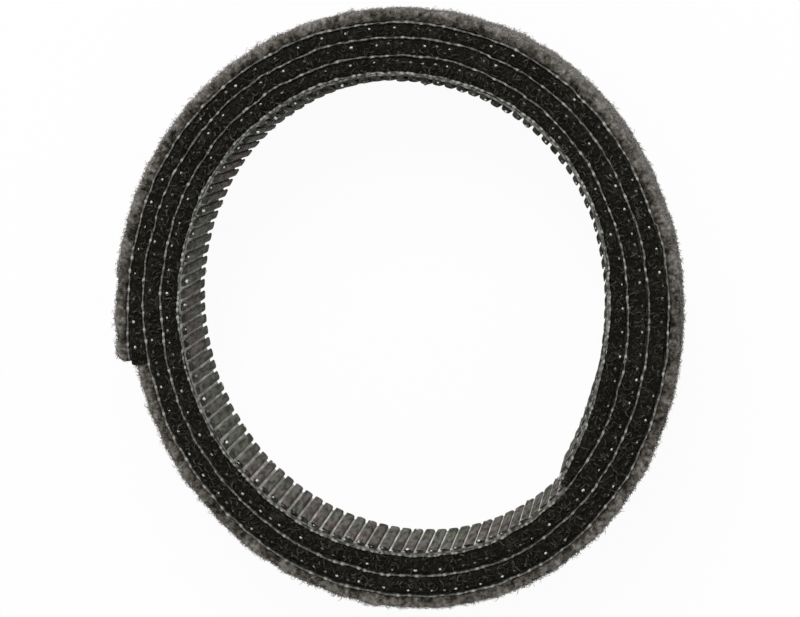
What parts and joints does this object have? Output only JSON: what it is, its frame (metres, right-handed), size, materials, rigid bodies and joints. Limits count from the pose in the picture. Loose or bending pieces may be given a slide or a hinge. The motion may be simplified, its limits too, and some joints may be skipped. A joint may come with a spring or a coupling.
{
  "type": "hook-and-loop strap roll",
  "caption": "Rolled length of back-to-back hook-and-loop strap lying on its edge: fuzzy loop face outside, hook rows inside, both ends free to peel.",
  "frame": {"origin": "middle of the roll's box, on the surface that the roll lies on", "axes": "+Z along the roll's axis and the strap's width, up; +Y along the oval's longer side; the strap's outer end is on the -X side"},
  "size_m": [0.0676, 0.0716, 0.016],
  "materials": {
    "hook_tape": "ribbed rows of stiff hooks, slightly glossy",
    "bond_film": "thin cut edge, slightly wavy",
    "loop_tape": "brushed fuzzy pile"
  },
  "bodies": {
    "roll": {"roll_hook_tape": "hook_tape", "roll_bond_film": "bond_film", "roll_loop_tape": "loop_tape"},
    "outer_flap_01": {"outer_flap_01_hook_tape": "hook_tape", "outer_flap_01_bond_film": "bond_film", "outer_flap_01_loop_tape": "loop_tape"},
    "outer_flap_02": {"outer_flap_02_hook_tape": "hook_tape", "outer_flap_02_bond_film": "bond_film", "outer_flap_02_loop_tape": "loop_tape"},
    "outer_flap_03": {"outer_flap_03_hook_tape": "hook_tape", "outer_flap_03_bond_film": "bond_film", "outer_flap_03_loop_tape": "loop_tape"},
    "outer_flap_04": {"outer_flap_04_hook_tape": "hook_tape", "outer_flap_04_bond_film": "bond_film", "outer_flap_04_loop_tape": "loop_tape"},
    "outer_flap_05": {"outer_flap_05_hook_tape": "hook_tape", "outer_flap_05_bond_film": "bond_film", "outer_flap_05_loop_tape": "loop_tape"},
    "outer_flap_06": {"outer_flap_06_hook_tape": "hook_tape", "outer_flap_06_bond_film": "bond_film", "outer_flap_06_loop_tape": "loop_tape"},
    "outer_flap_07": {"outer_flap_07_hook_tape": "hook_tape", "outer_flap_07_bond_film": "bond_film", "outer_flap_07_loop_tape": "loop_tape"},
    "outer_flap_08": {"outer_flap_08_hook_tape": "hook_tape", "outer_flap_08_bond_film": "bond_film", "outer_flap_08_loop_tape": "loop_tape"},
    "outer_flap_09": {"outer_flap_09_hook_tape": "hook_tape", "outer_flap_09_bond_film": "bond_film", "outer_flap_09_loop_tape": "loop_tape"},
    "outer_flap_10": {"outer_flap_10_hook_tape": "hook_tape", "outer_flap_10_bond_film": "bond_film", "outer_flap_10_loop_tape": "loop_tape"},
    "outer_flap_11": {"outer_flap_11_hook_tape": "hook_tape", "outer_flap_11_bond_film": "bond_film", "outer_flap_11_loop_tape": "loop_tape"},
    "outer_flap_12": {"outer_flap_12_hook_tape": "hook_tape", "outer_flap_12_bond_film": "bond_film", "outer_flap_12_loop_tape": "loop_tape"},
    "inner_flap_01": {"inner_flap_01_hook_tape": "hook_tape", "inner_flap_01_bond_film": "bond_film", "inner_flap_01_loop_tape": "loop_tape"},
    "inner_flap_02": {"inner_flap_02_hook_tape": "hook_tape", "inner_flap_02_bond_film": "bond_film", "inner_flap_02_loop_tape": "loop_tape"},
    "inner_flap_03": {"inner_flap_03_hook_tape": "hook_tape", "inner_flap_03_bond_film": "bond_film", "inner_flap_03_loop_tape": "loop_tape"},
    "inner_flap_04": {"inner_flap_04_hook_tape": "hook_tape", "inner_flap_04_bond_film": "bond_film", "inner_flap_04_loop_tape": "loop_tape"}
  },
  "joints": [
    {"name": "outer_flap_01_peel", "type": "hinge", "parent": "roll", "child": "outer_flap_01", "pos_m": [0.03086, 0.01046, 0.008], "axis": [0, 0, -1], "range_deg": [0, 30]},
    {"name": "outer_flap_02_peel", "type": "hinge", "parent": "outer_flap_01", "child": "outer_flap_02", "pos_m": [0.02716, 0.01894, 0.008], "axis": [0, 0, -1], "range_deg": [0, 30]},
    {"name": "outer_flap_03_peel", "type": "hinge", "parent": "outer_flap_02", "child": "outer_flap_03", "pos_m": [0.02204, 0.02548, 0.008], "axis": [0, 0, -1], "range_deg": [0, 30]},
    {"name": "outer_flap_04_peel", "type": "hinge", "parent": "outer_flap_03", "child": "outer_flap_04", "pos_m": [0.01589, 0.03019, 0.008], "axis": [0, 0, -1], "range_deg": [0, 30]},
    {"name": "outer_flap_05_peel", "type": "hinge", "parent": "outer_flap_04", "child": "outer_flap_05", "pos_m": [0.00878, 0.0332, 0.008], "axis": [0, 0, -1], "range_deg": [0, 30]},
    {"name": "outer_flap_06_peel", "type": "hinge", "parent": "outer_flap_05", "child": "outer_flap_06", "pos_m": [0.0009, 0.03438, 0.008], "axis": [0, 0, -1], "range_deg": [0, 30]},
    {"name": "outer_flap_07_peel", "type": "hinge", "parent": "outer_flap_06", "child": "outer_flap_07", "pos_m": [-0.00718, 0.03352, 0.008], "axis": [0, 0, -1], "range_deg": [0, 30]},
    {"name": "outer_flap_08_peel", "type": "hinge", "parent": "outer_flap_07", "child": "outer_flap_08", "pos_m": [-0.01473, 0.03069, 0.008], "axis": [0, 0, -1], "range_deg": [0, 30]},
    {"name": "outer_flap_09_peel", "type": "hinge", "parent": "outer_flap_08", "child": "outer_flap_09", "pos_m": [-0.02128, 0.0261, 0.008], "axis": [0, 0, -1], "range_deg": [0, 30]},
    {"name": "outer_flap_10_peel", "type": "hinge", "parent": "outer_flap_09", "child": "outer_flap_10", "pos_m": [-0.0266, 0.01985, 0.008], "axis": [0, 0, -1], "range_deg": [0, 30]},
    {"name": "outer_flap_11_peel", "type": "hinge", "parent": "outer_flap_10", "child": "outer_flap_11", "pos_m": [-0.03043, 0.01198, 0.008], "axis": [0, 0, -1], "range_deg": [0, 30]},
    {"name": "outer_flap_12_peel", "type": "hinge", "parent": "outer_flap_11", "child": "outer_flap_12", "pos_m": [-0.03229, 0.00281, 0.008], "axis": [0, 0, -1], "range_deg": [0, 30]},
    {"name": "inner_flap_01_peel", "type": "hinge", "parent": "roll", "child": "inner_flap_01", "pos_m": [0.02383, 0.0095, 0.008], "axis": [0, 0, -1], "range_deg": [0, 30]},
    {"name": "inner_flap_02_peel", "type": "hinge", "parent": "inner_flap_01", "child": "inner_flap_02", "pos_m": [0.02524, 0.00132, 0.008], "axis": [0, 0, -1], "range_deg": [0, 30]},
    {"name": "inner_flap_03_peel", "type": "hinge", "parent": "inner_flap_02", "child": "inner_flap_03", "pos_m": [0.02454, -0.00707, 0.008], "axis": [0, 0, -1], "range_deg": [0, 30]},
    {"name": "inner_flap_04_peel", "type": "hinge", "parent": "inner_flap_03", "child": "inner_flap_04", "pos_m": [0.02201, -0.01432, 0.008], "axis": [0, 0, -1], "range_deg": [0, 30]}
  ]
}
